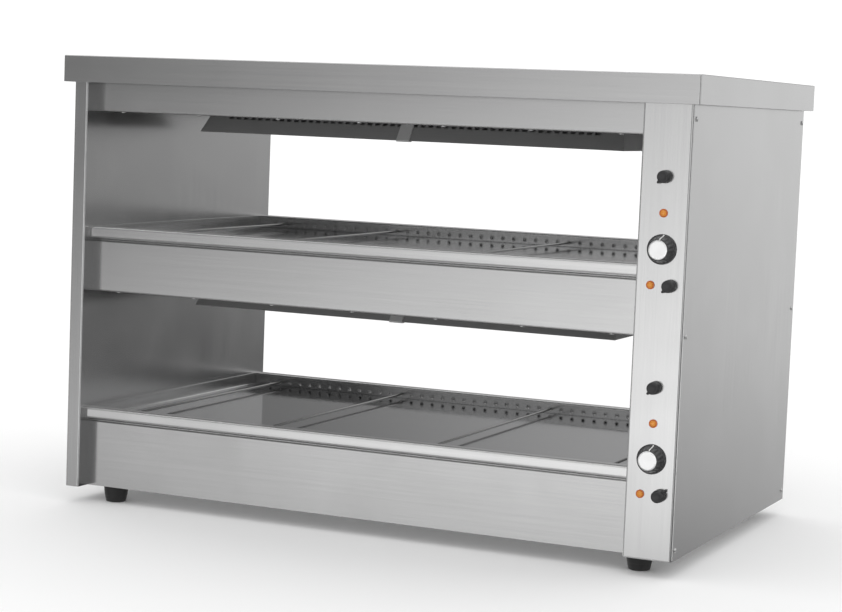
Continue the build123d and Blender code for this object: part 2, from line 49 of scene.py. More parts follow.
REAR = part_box("control_rear_cover")[1].y
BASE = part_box("base_pan")[0].z
BAY_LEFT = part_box("upper_hot_plate")[0].x
PANEL_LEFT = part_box("control_panel")[0].x
PANEL_MIDDLE = (PANEL_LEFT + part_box("control_panel")[1].x) / 2
DEPTH_MIDDLE = (FRONT + REAR) / 2
SHEET = 0.0015
KNOB_GAP = 0.0008

CAMERA_AZIMUTH, CAMERA_TILT, CAMERA_ROLL = 24.22, 5.32, 2.26
CAMERA_PLACE = (1.364, -3.0984, 0.641)
CAMERA_LENS = 91.0


# Scene: camera, pale floor, soft room
def place_camera():
    """Long lens from the right of the case, a little below its cover."""
    azimuth, tilt, roll = (math.radians(angle) for angle in (CAMERA_AZIMUTH, CAMERA_TILT, CAMERA_ROLL))
    forward = Vector((-math.sin(azimuth) * math.cos(tilt), math.cos(azimuth) * math.cos(tilt), -math.sin(tilt)))
    level = Vector((math.cos(azimuth), math.sin(azimuth), 0))
    upright = level.cross(forward)
    side = math.cos(roll) * level + math.sin(roll) * upright
    top = -math.sin(roll) * level + math.cos(roll) * upright
    lens = bpy.data.cameras.new("camera")
    lens.sensor_width = 36.0
    lens.lens = CAMERA_LENS
    lens.clip_end = 60.0
    camera = bpy.data.objects.new("camera", lens)
    turn = Matrix((side, top, -forward)).transposed().to_4x4()
    camera.matrix_world = Matrix.Translation(CAMERA_PLACE) @ turn
    bpy.context.scene.collection.objects.link(camera)
    bpy.context.scene.camera = camera


def ramp(tree, source, stops):
    """Grey steps between 0 and 1, blended smoothly."""
    made = tree.nodes.new("ShaderNodeValToRGB")
    made.color_ramp.interpolation = "EASE"
    while len(made.color_ramp.elements) < len(stops):
        made.color_ramp.elements.new(0.5)
    for element, (place, level) in zip(made.color_ramp.elements, stops):
        element.position = place
        element.color = (level, level, level, 1)
    tree.links.new(source, made.inputs["Fac"])
    return made.outputs["Color"]


def make_room():
    """White room for the camera and for diffuse light. Glossy rays see a grey room drawn by direction instead.

    Its steps were set until the steel's tones came close to the photograph's, so they suit that view best.
    """
    world = bpy.data.worlds.new("room")
    bpy.context.scene.world = world
    world.use_nodes = True
    tree = world.node_tree
    tree.nodes.clear()
    link = tree.links.new
    direction = tree.nodes.new("ShaderNodeTexCoord").outputs["Generated"]
    parts = tree.nodes.new("ShaderNodeSeparateXYZ")
    link(direction, parts.inputs[0])
    flat = tree.nodes.new("ShaderNodeCombineXYZ")
    link(parts.outputs["X"], flat.inputs["X"])
    link(parts.outputs["Y"], flat.inputs["Y"])
    unit = tree.nodes.new("ShaderNodeVectorMath")
    unit.operation = "NORMALIZE"
    link(flat.outputs[0], unit.inputs[0])
    level = tree.nodes.new("ShaderNodeSeparateXYZ")
    link(unit.outputs[0], level.inputs[0])

    def remap(source, low, high, to_low, to_high, smooth=True):
        made = tree.nodes.new("ShaderNodeMapRange")
        made.interpolation_type = "SMOOTHSTEP" if smooth else "LINEAR"
        for name, value in (("From Min", low), ("From Max", high), ("To Min", to_low), ("To Max", to_high)):
            made.inputs[name].default_value = value
        link(source, made.inputs["Value"])
        return made.outputs["Result"]

    def blend(factor, a, b):
        made = tree.nodes.new("ShaderNodeMix")
        made.data_type = "RGBA"
        link(factor, made.inputs["Factor"])
        link(a, made.inputs[6])
        link(b, made.inputs[7])
        return made.outputs[2]

    def multiply(a, b):
        made = tree.nodes.new("ShaderNodeMix")
        made.data_type = "RGBA"
        made.blend_type = "MULTIPLY"
        made.inputs["Factor"].default_value = 1.0
        link(a, made.inputs[6])
        link(b, made.inputs[7])
        return made.outputs[2]

    # Shares of full brightness, by direction. Sideways runs from the left, 0, to the right, 1
    sideways = remap(level.outputs["X"], -1, 1, 0, 1, smooth=False)
    height = remap(parts.outputs["Z"], -1, 1, 0, 1, smooth=False)
    ahead_high = ramp(tree, sideways, [
        (0.0, 0.6), (0.07, 0.4), (0.13, 0.05), (0.216, 0.14), (0.264, 0.31), (0.311, 0.56), (0.37, 0.84), (0.55, 0.9),
        (0.68, 0.12), (0.78, 0.2), (0.86, 0.5), (1.0, 0.62)])
    ahead_floor = ramp(tree, sideways, [
        (0.0, 0.6), (0.07, 0.4), (0.14, 0.20), (0.216, 0.40), (0.24, 0.72), (0.311, 0.93), (0.37, 1.08), (0.55, 1.08),
        (0.68, 0.12), (0.78, 0.2), (0.86, 0.5), (1.0, 0.62)])
    nearer_floor = remap(parts.outputs["Z"], -0.045, -0.15, 0, 1)
    ahead = blend(nearer_floor, ahead_high, ahead_floor)
    ahead_fade = ramp(tree, height, [(0.0, 0.7), (0.26, 0.5), (0.32, 0.10), (0.36, 0.08), (0.388, 0.30), (0.403, 0.75),
                                     (0.418, 1.0), (0.49, 0.86), (0.515, 0.75), (0.55, 0.28), (0.75, 0.6)])
    behind = ramp(tree, sideways, [
        (0.0, 0.6), (0.09, 0.4), (0.16, 0.12), (0.25, 0.12), (0.35, 0.26), (0.5, 0.3), (0.61, 0.61), (0.65, 0.52),
        (0.70, 0.42), (0.78, 0.2), (0.86, 0.5), (1.0, 0.62)])
    beside_fade = ramp(tree, height, [(0.0, 0.9), (0.26, 0.7), (0.32, 0.2), (0.36, 0.15), (0.397, 0.40), (0.415, 0.66),
                                      (0.455, 0.92), (0.5, 1.0)])
    inside_fade = ramp(tree, height, [(0.0, 0.9), (0.26, 0.7), (0.32, 0.1), (0.36, 0.06), (0.43, 0.12), (0.45, 0.26),
                                      (0.48, 0.9), (0.5, 1.0)])
    inside = remap(level.outputs["X"], 0.34, 0.44, 0, 1)
    behind_fade = blend(inside, beside_fade, inside_fade)
    back = remap(level.outputs["Y"], -0.2, 0.2, 0, 1)
    room = blend(back, multiply(ahead, ahead_fade), multiply(behind, behind_fade))
    # Seen mostly by the rear and the top: the far floor and the ceiling
    far_floor = math_node(tree, "MULTIPLY", remap(parts.outputs["Z"], -0.03, -0.12, 0, 1),
                          remap(level.outputs["X"], 0.14, 0.02, 0, 1))
    far_floor = math_node(tree, "MULTIPLY", far_floor, back)
    pale = tree.nodes.new("ShaderNodeRGB")
    pale.outputs[0].default_value = (0.62, 0.62, 0.62, 1)
    room = blend(far_floor, room, pale.outputs[0])
    room = blend(remap(parts.outputs["Z"], 0.3, 0.65, 0, 1), room, pale.outputs[0])
    shiny = tree.nodes.new("ShaderNodeLightPath").outputs["Is Glossy Ray"]
    white = tree.nodes.new("ShaderNodeRGB")
    white.outputs[0].default_value = (0.70, 0.70, 0.70, 1)
    light = tree.nodes.new("ShaderNodeBackground")
    light.inputs["Strength"].default_value = 1.6
    link(blend(shiny, white.outputs[0], room), light.inputs["Color"])
    output = tree.nodes.new("ShaderNodeOutputWorld")
    link(light.outputs[0], output.inputs["Surface"])


# Effects that several finishes share
def new_group(name, inputs, outputs):
    """Empty effect with named sockets. Returns its tree and its input and output nodes."""
    tree = bpy.data.node_groups.new(name, "ShaderNodeTree")
    for label, kind, value in inputs:
        socket = tree.interface.new_socket(name=label, in_out="INPUT", socket_type=kind)
        socket.default_value = value
    for label, kind in outputs:
        tree.interface.new_socket(name=label, in_out="OUTPUT", socket_type=kind)
    return tree, tree.nodes.new("NodeGroupInput"), tree.nodes.new("NodeGroupOutput")


def noise(tree, vector, scale, detail=3.0, rough=0.6):
    made = tree.nodes.new("ShaderNodeTexNoise")
    made.inputs["Scale"].default_value = scale
    made.inputs["Detail"].default_value = detail
    made.inputs["Roughness"].default_value = rough
    tree.links.new(vector, made.inputs["Vector"])
    return made.outputs["Fac"]


def math_node(tree, kind, a, b):
    """One sum of two sockets or numbers."""
    made = tree.nodes.new("ShaderNodeMath")
    made.operation = kind
    for socket, value in zip(made.inputs, (a, b)):
        if isinstance(value, (int, float)):
            socket.default_value = value
        else:
            tree.links.new(value, socket)
    return made.outputs[0]


def make_sheet_grain():
    """Fine brushed lines, long along the axis whose stretch is small, with broader bands of pressure from the belt."""
    tree, taken, given = new_group(
        "sheet_grain",
        [("Stretch", "NodeSocketVector", (8, 900, 900)), ("Bands", "NodeSocketFloat", 0.3)],
        [("Lines", "NodeSocketFloat"), ("Relief", "NodeSocketFloat")],
    )
    place = tree.nodes.new("ShaderNodeTexCoord").outputs["Object"]
    stretched = tree.nodes.new("ShaderNodeVectorMath")
    stretched.operation = "MULTIPLY"
    tree.links.new(place, stretched.inputs[0])
    tree.links.new(taken.outputs["Stretch"], stretched.inputs[1])
    fine = noise(tree, stretched.outputs[0], 1.0, 4.0, 0.7)
    broad = noise(tree, stretched.outputs[0], 0.16, 2.0, 0.5)
    banded = math_node(tree, "MULTIPLY", broad, taken.outputs["Bands"])
    kept = math_node(tree, "SUBTRACT", 1.0, taken.outputs["Bands"])
    lines = math_node(tree, "ADD", math_node(tree, "MULTIPLY", fine, kept), banded)
    tree.links.new(lines, given.inputs["Lines"])
    tree.links.new(fine, given.inputs["Relief"])
    return tree


def make_handling_marks():
    """Cloudy wipe marks, and thin scratches that run every way."""
    tree, taken, given = new_group(
        "handling_marks",
        [("Cloud Scale", "NodeSocketFloat", 7.0), ("Scratch Scale", "NodeSocketFloat", 40.0)],
        [("Clouds", "NodeSocketFloat"), ("Scratches", "NodeSocketFloat")],
    )
    place = tree.nodes.new("ShaderNodeTexCoord").outputs["Object"]
    clouds = tree.nodes.new("ShaderNodeTexNoise")
    clouds.inputs["Detail"].default_value = 5.0
    clouds.inputs["Distortion"].default_value = 0.6
    tree.links.new(place, clouds.inputs["Vector"])
    tree.links.new(taken.outputs["Cloud Scale"], clouds.inputs["Scale"])
    bent = tree.nodes.new("ShaderNodeTexNoise")
    bent.inputs["Scale"].default_value = 9.0
    tree.links.new(place, bent.inputs["Vector"])
    shifted = tree.nodes.new("ShaderNodeVectorMath")
    shifted.operation = "ADD"
    tree.links.new(place, shifted.inputs[0])
    tree.links.new(bent.outputs["Color"], shifted.inputs[1])
    cells = tree.nodes.new("ShaderNodeTexVoronoi")
    cells.feature = "DISTANCE_TO_EDGE"
    tree.links.new(shifted.outputs[0], cells.inputs["Vector"])
    tree.links.new(taken.outputs["Scratch Scale"], cells.inputs["Scale"])
    thin = math_node(tree, "LESS_THAN", cells.outputs["Distance"], 0.012)
    patchy = math_node(tree, "GREATER_THAN", clouds.outputs["Fac"], 0.56)
    tree.links.new(clouds.outputs["Fac"], given.inputs["Clouds"])
    tree.links.new(math_node(tree, "MULTIPLY", thin, patchy), given.inputs["Scratches"])
    return tree


def make_speckle():
    """Fine even grain of moulded plastic and rubber."""
    tree, taken, given = new_group(
        "moulded_speckle",
        [("Grain Scale", "NodeSocketFloat", 1400.0)],
        [("Grain", "NodeSocketFloat"), ("Tone", "NodeSocketFloat")],
    )
    place = tree.nodes.new("ShaderNodeTexCoord").outputs["Object"]
    grain = tree.nodes.new("ShaderNodeTexNoise")
    grain.inputs["Detail"].default_value = 2.0
    tree.links.new(place, grain.inputs["Vector"])
    tree.links.new(taken.outputs["Grain Scale"], grain.inputs["Scale"])
    tree.links.new(grain.outputs["Fac"], given.inputs["Grain"])
    tree.links.new(noise(tree, place, 45.0), given.inputs["Tone"])
    return tree


GRAIN = make_sheet_grain()
MARKS = make_handling_marks()
SPECKLE = make_speckle()
LENGTHWAYS = (9, 1500, 1500)
UPRIGHT = (1500, 1500, 9)
DEPTHWAYS = (1500, 9, 1500)


def new_material(name):
    """Material with a bare Principled shader. Returns the material, its tree and the shader."""
    material = bpy.data.materials.new(name)
    material.use_nodes = True
    tree = material.node_tree
    shader = next(n for n in tree.nodes if n.type == "BSDF_PRINCIPLED")
    return material, tree, shader


def place_group(tree, group, **values):
    made = tree.nodes.new("ShaderNodeGroup")
    made.node_tree = group
    for name, value in values.items():
        made.inputs[name.replace("_", " ")].default_value = value
    return made


def vary(tree, source, low, high, to_low, to_high):
    """A mask turned into a range of roughness or height."""
    made = tree.nodes.new("ShaderNodeMapRange")
    for name, value in (("From Min", low), ("From Max", high), ("To Min", to_low), ("To Max", to_high)):
        made.inputs[name].default_value = value
    tree.links.new(source, made.inputs["Value"])
    return made.outputs["Result"]


def tint(tree, mask, dark, light):
    made = tree.nodes.new("ShaderNodeMix")
    made.data_type = "RGBA"
    tree.links.new(mask, made.inputs["Factor"])
    made.inputs[6].default_value = (*dark, 1)
    made.inputs[7].default_value = (*light, 1)
    return made.outputs[2]


def softened_edge(tree, radius):
    """Rounds every edge in the shading, as a sheet's cut edges are dressed."""
    made = tree.nodes.new("ShaderNodeBevel")
    made.samples = 4
    made.inputs["Radius"].default_value = radius
    return made.outputs["Normal"]


def bump(tree, shader, height, distance, strength, normal=None):
    made = tree.nodes.new("ShaderNodeBump")
    made.inputs["Distance"].default_value = distance
    made.inputs["Strength"].default_value = strength
    tree.links.new(height, made.inputs["Height"])
    if normal is not None:
        tree.links.new(normal, made.inputs["Normal"])
    tree.links.new(made.outputs["Normal"], shader.inputs["Normal"])


def steel(name, tone, gloss, stretch, relief=0.12, bands=0.35, edge=0.0006, clouds=7.0, bare=1.0):
    """Brushed stainless sheet. Tone is its brightness and gloss its mean roughness.

    Bare is how metallic it is: below 1 only for the hoods, guards and brackets, chosen for their tone.
    """
    material, tree, shader = new_material(name)
    shader.inputs["Metallic"].default_value = bare
    grain = place_group(tree, GRAIN, Stretch=stretch, Bands=bands)
    marks = place_group(tree, MARKS, Cloud_Scale=clouds, Scratch_Scale=46.0)
    mixed = math_node(tree, "ADD", math_node(tree, "MULTIPLY", grain.outputs["Lines"], 0.75),
                      math_node(tree, "MULTIPLY", marks.outputs["Clouds"], 0.25))
    spread = vary(tree, mixed, 0.3, 0.7, 0.0, 1.0)
    dark = tuple(tone * share for share in (0.93, 0.93, 0.935))
    light = tuple(min(1.0, tone * share) for share in (1.06, 1.06, 1.055))
    tree.links.new(tint(tree, spread, dark, light), shader.inputs["Base Color"])
    worn = math_node(tree, "ADD", vary(tree, marks.outputs["Clouds"], 0.3, 0.7, gloss - 0.018, gloss + 0.018),
                     math_node(tree, "MULTIPLY", marks.outputs["Scratches"], 0.02))
    tree.links.new(worn, shader.inputs["Roughness"])
    bump(tree, shader, grain.outputs["Relief"], 0.00008, relief, softened_edge(tree, edge))
    return material


def polished(name, tone, gloss):
    """Mirror-polished plate with faint rolling waves and wipe marks."""
    material, tree, shader = new_material(name)
    shader.inputs["Metallic"].default_value = 1.0
    marks = place_group(tree, MARKS, Cloud_Scale=5.0, Scratch_Scale=30.0)
    grain = place_group(tree, GRAIN, Stretch=(5, 700, 700), Bands=0.6)
    dark = (tone * 0.88, tone * 0.885, tone * 0.9)
    light = (tone * 1.06, tone * 1.065, tone * 1.08)
    tree.links.new(tint(tree, marks.outputs["Clouds"], dark, light), shader.inputs["Base Color"])
    worn = math_node(tree, "ADD", vary(tree, marks.outputs["Clouds"], 0.3, 0.7, gloss, gloss + 0.05),
                     math_node(tree, "MULTIPLY", marks.outputs["Scratches"], 0.12))
    tree.links.new(worn, shader.inputs["Roughness"])
    place = tree.nodes.new("ShaderNodeTexCoord").outputs["Object"]
    waves = math_node(tree, "ADD", noise(tree, place, 6.0, 1.0),
                      math_node(tree, "MULTIPLY", grain.outputs["Relief"], 0.02))
    bump(tree, shader, waves, 0.0012, 0.25)
    return material


def moulded(name, dark, light, gloss, coat=0.0, grain=1400.0, relief=0.15):
    """Moulded plastic or rubber."""
    material, tree, shader = new_material(name)
    speckle = place_group(tree, SPECKLE, Grain_Scale=grain)
    tree.links.new(tint(tree, speckle.outputs["Tone"], dark, light), shader.inputs["Base Color"])
    worn = vary(tree, speckle.outputs["Tone"], 0.3, 0.7, gloss - 0.05, gloss + 0.05)
    tree.links.new(worn, shader.inputs["Roughness"])
    shader.inputs["Coat Weight"].default_value = coat
    shader.inputs["Coat Roughness"].default_value = 0.08
    bump(tree, shader, speckle.outputs["Grain"], 0.00012, relief, softened_edge(tree, 0.0004))
    return material


def amber(name, grazing_shade, facing_highlight):
    """Unlit amber lens with painted light: a painted highlight where it faces the camera, turning to a deeper painted
    shade where it curves away.
    """
    material, tree, shader = new_material(name)
    speckle = place_group(tree, SPECKLE, Grain_Scale=900.0)
    # Painted highlight and shade: the tint runs from the highlight colour where the lens faces the camera to the shade
    # colour at its edges.
    facing = tree.nodes.new("ShaderNodeLayerWeight")
    facing.inputs["Blend"].default_value = 0.35
    mixed = math_node(tree, "ADD", facing.outputs["Facing"],
                      math_node(tree, "MULTIPLY", speckle.outputs["Tone"], 0.2))
    tree.links.new(tint(tree, mixed, facing_highlight, grazing_shade), shader.inputs["Base Color"])
    tree.links.new(vary(tree, speckle.outputs["Tone"], 0.3, 0.7, 0.12, 0.2), shader.inputs["Roughness"])
    shader.inputs["Coat Weight"].default_value = 0.5
    shader.inputs["Coat Roughness"].default_value = 0.05
    bump(tree, shader, speckle.outputs["Grain"], 0.00005, 0.1)
    return material


def spun(name, tone, gloss):
    """Turned metal face: fine rings about the piece's own axis."""
    material, tree, shader = new_material(name)
    shader.inputs["Metallic"].default_value = 1.0
    place = tree.nodes.new("ShaderNodeUVMap")
    place.uv_map = "turned"
    split = tree.nodes.new("ShaderNodeSeparateXYZ")
    tree.links.new(place.outputs["UV"], split.inputs[0])
    radius = tree.nodes.new("ShaderNodeCombineXYZ")
    tree.links.new(split.outputs["X"], radius.inputs["X"])
    rings = noise(tree, radius.outputs[0], 9000.0, 2.0)
    tree.links.new(tint(tree, rings, (tone * 0.9,) * 3, (min(1.0, tone * 1.08),) * 3), shader.inputs["Base Color"])
    tree.links.new(vary(tree, rings, 0.3, 0.7, gloss - 0.05, gloss + 0.05), shader.inputs["Roughness"])
    bump(tree, shader, rings, 0.00004, 0.25)
    return material


def floor_material():
    material, tree, shader = new_material("pale_floor")
    place = tree.nodes.new("ShaderNodeTexCoord").outputs["Object"]
    tree.links.new(tint(tree, noise(tree, place, 3.0), (0.955,) * 3, (0.975,) * 3), shader.inputs["Base Color"])
    shader.inputs["Roughness"].default_value = 0.9
    shader.inputs["Specular IOR Level"].default_value = 0.1
    return material


# Shapes
def finish_mesh(name, bm, materials, body, smooth=35.0):
    """Turns a bmesh into a piece that rides on its body."""
    bmesh.ops.recalc_face_normals(bm, faces=bm.faces)
    mesh = bpy.data.meshes.new(name)
    bm.to_mesh(mesh)
    bm.free()
    for material in materials:
        mesh.materials.append(material)
    mesh.shade_smooth()
    mesh.set_sharp_from_angle(angle=math.radians(smooth))
    piece = bpy.data.objects.new(name, mesh)
    bpy.context.scene.collection.objects.link(piece)
    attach(piece, body)
    return piece


def turned(bm, place, profile, steps, ribs=None, index=0, start=0.0):
    """Turns a profile of (radius, height) about a place's local Z. Ribs, if given, shape the radius by angle."""
    uv = bm.loops.layers.uv.get("turned") or bm.loops.layers.uv.new("turned")
    rings = []
    for radius, height in profile:
        ring = []
        for step in range(steps):
            angle = start + 2 * math.pi * step / steps
            reach = ribs(radius, height, angle) if ribs else radius
            ring.append(bm.verts.new(place @ Vector((reach * math.cos(angle), reach * math.sin(angle), height))))
        rings.append(ring)
    for (low, high), (a, b) in zip(zip(rings, rings[1:]), zip(profile, profile[1:])):
        for step in range(steps):
            after = (step + 1) % steps
            face = bm.faces.new((low[step], low[after], high[after], high[step]))
            face.material_index = index
            for loop, radius in zip(face.loops, (a[0], a[0], b[0], b[0])):
                loop[uv].uv = (radius, step / steps)
    for ring, (radius, height) in ((rings[0], profile[0]), (rings[-1], profile[-1])):
        middle = bm.verts.new(place @ Vector((0, 0, height)))
        for step in range(steps):
            face = bm.faces.new((ring[step], ring[(step + 1) % steps], middle))
            face.material_index = index
            for loop, reach in zip(face.loops, (radius, radius, 0.0)):
                loop[uv].uv = (reach, step / steps)


def out_of_panel(x, z, gap=0.0):
    """Place on the control panel's face: local Z comes out of the panel and local Y is up."""
    turn = Matrix(((1, 0, 0), (0, 0, -1), (0, 1, 0))).to_4x4()
    return Matrix.Translation((x, FRONT - gap, z)) @ turn


def middle_of(name):
    low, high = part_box(name)
    return (low + high) / 2


def thermostat_knobs():
    """Skirted black knobs with a ribbed, tapering grip, a white pointer and a spun cap."""
    rib_low, rib_high, rib_count = 0.0027, 0.0164, 18

    def ribs(radius, height, angle):
        if height < rib_low or height > rib_high or radius < 0.012:
            return radius
        groove = (0.5 - 0.5 * math.cos(rib_count * angle)) ** 1.6
        ease = min(1.0, (height - rib_low) / 0.002 + 0.2, (rib_high - height) / 0.0014 + 0.2)
        return radius - 0.00115 * groove * ease

    profile = [(0.0205, 0.0), (0.021, 0.0004), (0.021, 0.0015), (0.0207, 0.0019), (0.0196, 0.0021), (0.0190, 0.0027),
               (0.0186, 0.0045), (0.0178, 0.0080), (0.0168, 0.0120), (0.0158, 0.0155), (0.0152, 0.0165),
               (0.0145, 0.0170), (0.0137, 0.0170)]
    cap = [(0.0133, 0.0169), (0.0135, 0.0171), (0.0135, 0.0180), (0.0132, 0.0183), (0.0120, 0.0184), (0.0118, 0.01825),
           (0.0060, 0.01825), (0.0020, 0.0182), (0.0006, 0.0182)]
    for name in ("upper", "lower"):
        middle = middle_of(f"{name}_thermostat_cap")
        place = out_of_panel(middle.x, middle.z, KNOB_GAP)
        body = f"{name}_thermostat_dial"
        bm = bmesh.new()
        turned(bm, place, profile, 216, ribs)
        knob = finish_mesh(f"{name}_dial_grip", bm, [paint["dial_black"]], body, 30)
        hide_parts(f"{name}_thermostat_knob")
        bm = bmesh.new()
        turned(bm, place, cap, 72)
        disc = finish_mesh(f"{name}_dial_cap", bm, [paint["dial_cap"]], body, 30)
        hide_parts(f"{name}_thermostat_cap")
        dial_pointer(f"{name}_dial_pointer", place @ Matrix.Rotation(math.radians(-8), 4, "Z"), body)


def dial_pointer(name, place, body):
    """Raised line that runs from the cap down the grip to the skirt's edge."""
    bm = bmesh.new()
    half = 0.0009
    path = [(0.0139, 0.0171), (0.0150, 0.0173), (0.0158, 0.0166), (0.0188, 0.0046), (0.0196, 0.0025), (0.0207, 0.0022)]
    rows = []
    for reach, height in path:
        rows.append([bm.verts.new(place @ Vector((side * half, reach - drop, height - drop)))
                     for side, drop in ((-1.0, 0.0006), (-0.8, 0.0), (0.8, 0.0), (1.0, 0.0006))])
    for low, high in zip(rows, rows[1:]):
        for step in range(3):
            bm.faces.new((low[step], low[step + 1], high[step + 1], high[step]))
        bm.faces.new((low[3], low[0], high[0], high[3]))
    bm.faces.new(rows[0])
    bm.faces.new(rows[-1])
    finish_mesh(name, bm, [paint["dial_line"]], body)


def switch_knobs():
    """Small round knobs with a pointer nose at one side."""
    profile = [(0.0089, 0.0), (0.0092, 0.0004), (0.0091, 0.0030), (0.0088, 0.0080), (0.0085, 0.0112), (0.0080, 0.0122),
               (0.0071, 0.0128), (0.0060, 0.0129), (0.0053, 0.01265), (0.0020, 0.0126)]
    for row in ("upper", "lower"):
        for kind in ("heater", "plate"):
            name = f"{row}_{kind}_switch"
            middle = middle_of(f"{name}_spindle")
            angle = 45.0 if name == "lower_plate_switch" else 225.0
            place = out_of_panel(middle.x, middle.z, KNOB_GAP) @ Matrix.Rotation(math.radians(angle), 4, "Z")
            bm = bmesh.new()
            turned(bm, place, profile, 64)
            outline = [(0.0, -0.0024), (0.0098, -0.0022), (0.0122, -0.0017), (0.0132, -0.0006), (0.0132, 0.0006),
                       (0.0122, 0.0017), (0.0098, 0.0022), (0.0, 0.0024)]
            levels = [(1.0, 0.0002), (0.98, 0.0070), (0.93, 0.0080)]
            rings = [[bm.verts.new(place @ Vector((x * share, y * share, height))) for x, y in outline]
                     for share, height in levels]
            count = len(outline)
            for low, high in zip(rings, rings[1:]):
                for step in range(count):
                    bm.faces.new((low[step], low[(step + 1) % count], high[(step + 1) % count], high[step]))
            bm.faces.new(rings[0])
            bm.faces.new(rings[-1])
            knob = finish_mesh(f"{name}_grip", bm, [paint["knob_black"]], name, 40)
            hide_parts(f"{name}_knob")


def pilot_lamps():
    """Amber lenses: a darker, redder rim with a dome in it whose brighter colour is a painted highlight."""
    rim = [(0.0056, 0.0), (0.0060, 0.0003), (0.0060, 0.0012), (0.0057, 0.0016), (0.0050, 0.0017), (0.0047, 0.0013),
           (0.0040, 0.0013)]
    dome = [(0.0046, 0.0012), (0.0046, 0.0018), (0.0043, 0.0025), (0.0037, 0.0030), (0.0028, 0.0034),
            (0.0016, 0.00357), (0.0005, 0.0036)]
    bm = bmesh.new()
    for row in ("upper", "lower"):
        middle = middle_of(f"{row}_thermostat_cap")
        for x, z in ((middle.x, middle.z + 0.05), (middle.x - 0.014, middle.z - 0.05)):
            place = out_of_panel(x, z)
            turned(bm, place, rim, 40, index=0)
            turned(bm, place, dome, 40, index=1)
    lenses = finish_mesh("pilot_lenses", bm, [paint["amber_rim"], paint["amber_dome_painted_highlight"]], "cabinet", 30)
    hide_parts("lamp_lenses")


def tube(bm, path, radius, sides):
    """Round wire along a path of points in one plane or more, closed at both ends."""
    rings = []
    for index, point in enumerate(path):
        before = path[max(index - 1, 0)]
        after = path[min(index + 1, len(path) - 1)]
        along = (after - before).normalized()
        across = Vector((1, 0, 0)) if abs(along.x) < 0.9 else Vector((0, 1, 0))
        across = (across - along * across.dot(along)).normalized()
        other = along.cross(across)
        rings.append([bm.verts.new(point + radius * (math.cos(a) * across + math.sin(a) * other))
                      for a in (2 * math.pi * step / sides for step in range(sides))])
    for low, high in zip(rings, rings[1:]):
        for step in range(sides):
            bm.faces.new((low[step], low[(step + 1) % sides], high[(step + 1) % sides], high[step]))
    bm.faces.new(rings[0])
    bm.faces.new(rings[-1])


def lane_rods():
    """Drawn wire rods. Each has its back end in the rail and its front end turned down to the plate."""
    for row in ("upper", "lower"):
        for number in (1, 2, 3, 4):
            name = f"{row}_lane_rod_{number}"
            low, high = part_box(name)
            x = (low.x + high.x) / 2
            radius = 0.0019
            height = high.z - radius
            toe = low.y + radius
            bend = 0.005
            path = [Vector((x, high.y - 0.0002, height))]
            path += [Vector((x, toe + bend - bend * math.sin(a), height - bend + bend * math.cos(a)))
                     for a in (math.radians(15 * step) for step in range(7))]
            path.append(Vector((x, toe, low.z)))
            bm = bmesh.new()
            tube(bm, path, radius, 20)
            rod = finish_mesh(f"{row}_lane_wire_{number}", bm, [paint["rod_steel"]], f"{name}_body", 50)
            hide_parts(name)


def rubber_feet():
    """Tapered feet with a rounded tread and two moulded rings."""
    profile = [(0.0070, 0.0160), (0.0070, 0.0012), (0.0075, 0.0003), (0.0085, 0.0), (0.0140, 0.0), (0.0153, 0.0006),
               (0.0160, 0.0020), (0.0165, 0.0055), (0.0169, 0.0058), (0.0175, 0.0105), (0.0179, 0.0108),
               (0.0189, 0.0190), (0.0193, 0.0250),
               (0.0191, 0.0259), (0.0186, 0.0260), (0.0050, 0.0260)]
    low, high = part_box("feet")
    radius = 0.020
    bm = bmesh.new()
    for x in (low.x + radius, high.x - radius):
        for y in (low.y + radius, high.y - radius):
            turned(bm, Matrix.Translation((x, y, 0)), profile, 72)
    feet = finish_mesh("rubber_feet", bm, [paint["rubber"]], "cabinet", 32)
    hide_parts("feet")


def screw_heads():
    """Low domed heads with a cross recess, each turned its own way."""
    spin = random.Random(11)
    radius, height, depth = 0.0035, 0.0020, 0.0011
    side_inset, row_inset, row_count = 0.014, 0.044, 7
    bay_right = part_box("upper_hot_plate")[1].x
    apron_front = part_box("upper_front_apron")[0].y
    apron_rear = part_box("upper_rear_apron")[1].y
    places = []
    for z in (BASE + rise for rise in (0.015, 0.3145, 0.614)):
        for y in (FRONT + side_inset, REAR - side_inset):
            places.append((Vector((0.5, y, z)), Vector((1, 0, 0))))
            places.append((Vector((-0.5, y, z)), Vector((-1, 0, 0))))
    for z in (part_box("canopy_front_fascia")[0].z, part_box("upper_front_apron")[0].z):
        for step in range(row_count):
            x = BAY_LEFT + row_inset + (bay_right - BAY_LEFT - 2 * row_inset) * step / (row_count - 1)
            for y in (apron_front + 0.0075, apron_rear - 0.0075):
                places.append((Vector((x, y, z)), Vector((0, 0, -1))))
    bm = bmesh.new()
    steps = 24
    shares = (0.06, 0.22, 0.34, 0.46, 0.60, 0.75, 0.88, 0.96, 1.0)
    for point, outward in places:
        turn = outward.to_track_quat("Z", "Y").to_matrix().to_4x4()
        place = Matrix.Translation(point) @ turn @ Matrix.Rotation(spin.uniform(0, math.pi), 4, "Z")
        rings = []
        for share in shares:
            ring = []
            for step in range(steps):
                angle = 2 * math.pi * step / steps
                x, y = radius * share * math.cos(angle), radius * share * math.sin(angle)
                crossed = (abs(x) < 0.00042 or abs(y) < 0.00042) and share < 0.62
                rise = height * math.sqrt(max(0.0, 1 - 0.75 * share ** 2)) if share < 0.97 else height * 0.42
                ring.append(bm.verts.new(place @ Vector((x, y, rise - (depth if crossed else 0.0)))))
            rings.append(ring)
        rings.append([bm.verts.new(place @ Vector((radius * math.cos(angle), radius * math.sin(angle), 0.0)))
                      for angle in (2 * math.pi * step / steps for step in range(steps))])
        for inner, outer in zip(rings, rings[1:]):
            for step in range(steps):
                bm.faces.new((inner[step], inner[(step + 1) % steps], outer[(step + 1) % steps], outer[step]))
        bm.faces.new(rings[0])
        bm.faces.new(rings[-1])
    heads = finish_mesh("screw_heads", bm, [paint["fastener"]], "cabinet", 25)
    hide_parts("screws")


